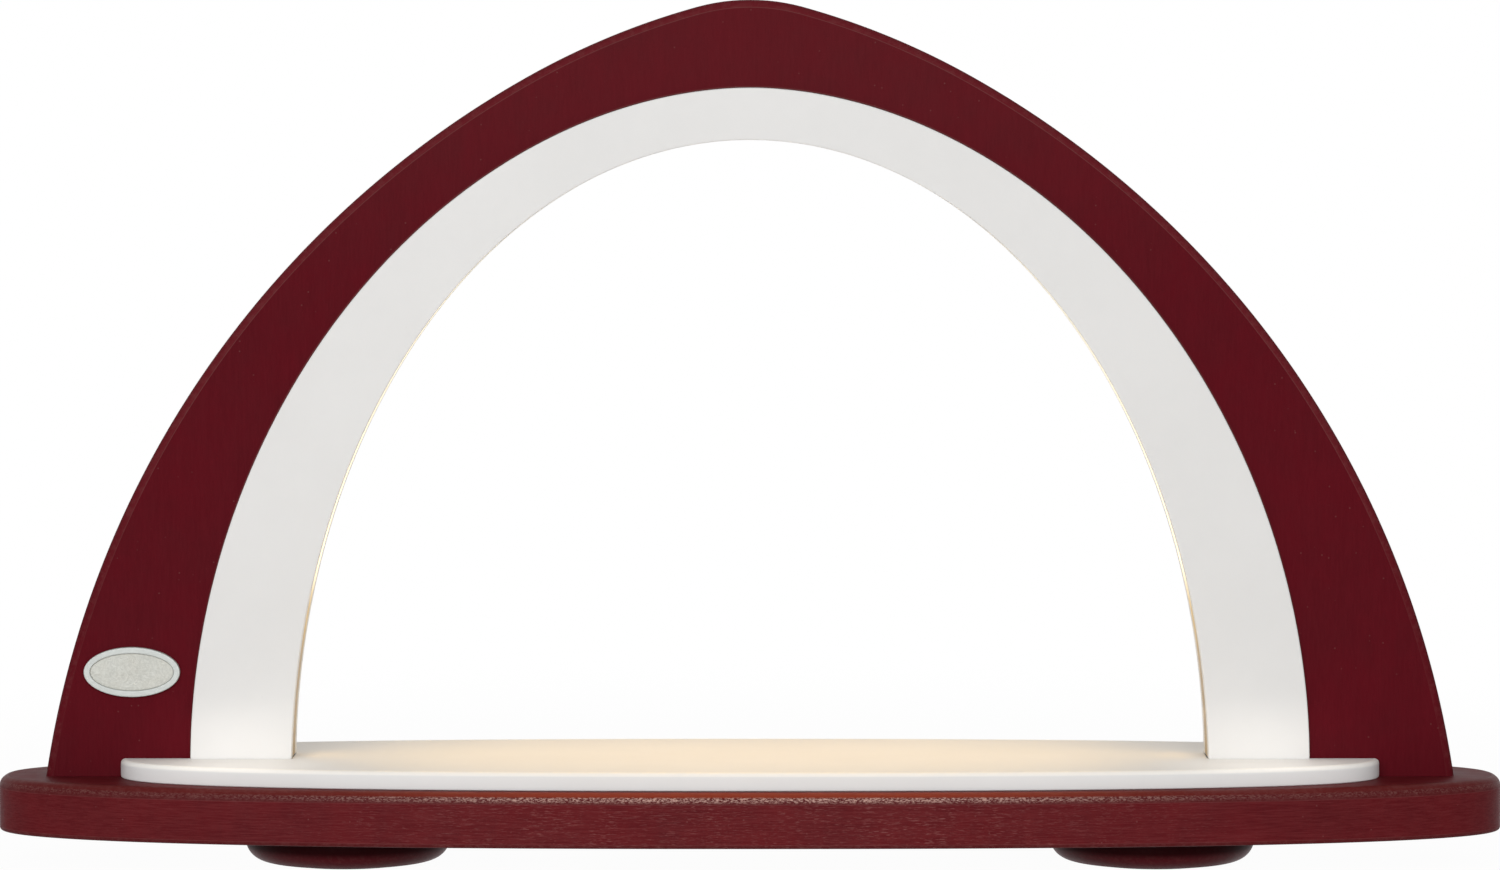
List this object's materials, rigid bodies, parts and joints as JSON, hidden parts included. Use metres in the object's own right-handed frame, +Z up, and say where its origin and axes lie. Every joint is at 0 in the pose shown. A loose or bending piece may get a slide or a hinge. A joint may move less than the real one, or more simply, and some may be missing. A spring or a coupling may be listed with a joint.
{
  "type": "led candle arch",
  "caption": "Empty pointed light arch: red stained outer arch, white inner arch with a warm band of light in its inner edge, on a slotted white platform and a red footed base board.",
  "frame": {"origin": "on the table, under the middle of the base board", "axes": "+X to the right seen from the front, the front faces -Y, +Z up"},
  "size_m": [0.522, 0.118, 0.299],
  "materials": {
    "red_stain_arch": "semi-matte stained fibreboard",
    "red_stain_base": "satin stained wood",
    "red_stain_foot": "satin stained, turned",
    "white_lacquer": "satin lacquer",
    "opal_diffuser": "opal, lit from behind",
    "led_strip": "white flexible circuit",
    "badge_metal": "satin",
    "beech": "raw",
    "fibreboard": "raw hardboard",
    "screw_steel": "zinc plated",
    "black_plastic": "moulded",
    "nickel": "nickel plated",
    "red_sleeve": "smooth sleeve",
    "black_sleeve": "smooth sleeve",
    "felt": "pressed felt"
  },
  "bodies": {
    "root": {"base_board": "red_stain_base", "platform_board": "white_lacquer", "arch_outer": "red_stain_arch", "arch_inner": "white_lacquer", "led_strip": "led_strip", "led_diffuser": "opal_diffuser", "badge": "badge_metal", "platform_dowel_left": "beech", "platform_dowel_right": "beech", "channel_cover": "fibreboard", "channel_cover_screw_1": "screw_steel", "channel_cover_screw_2": "screw_steel", "channel_cover_screw_3": "screw_steel", "channel_cover_screw_4": "screw_steel", "dc_socket_body": "black_plastic", "dc_socket_pin": "nickel", "dc_socket_nut": "nickel", "lead_positive": "red_sleeve", "lead_negative": "black_sleeve", "arch_outer_screw_left": "screw_steel", "arch_outer_screw_right": "screw_steel", "arch_inner_screw_left": "screw_steel", "arch_inner_screw_right": "screw_steel", "foot_left": "red_stain_foot", "foot_right": "red_stain_foot", "foot_pad_left": "felt", "foot_pad_right": "felt", "foot_screw_left": "screw_steel", "foot_screw_right": "screw_steel"}
  },
  "joints": []
}
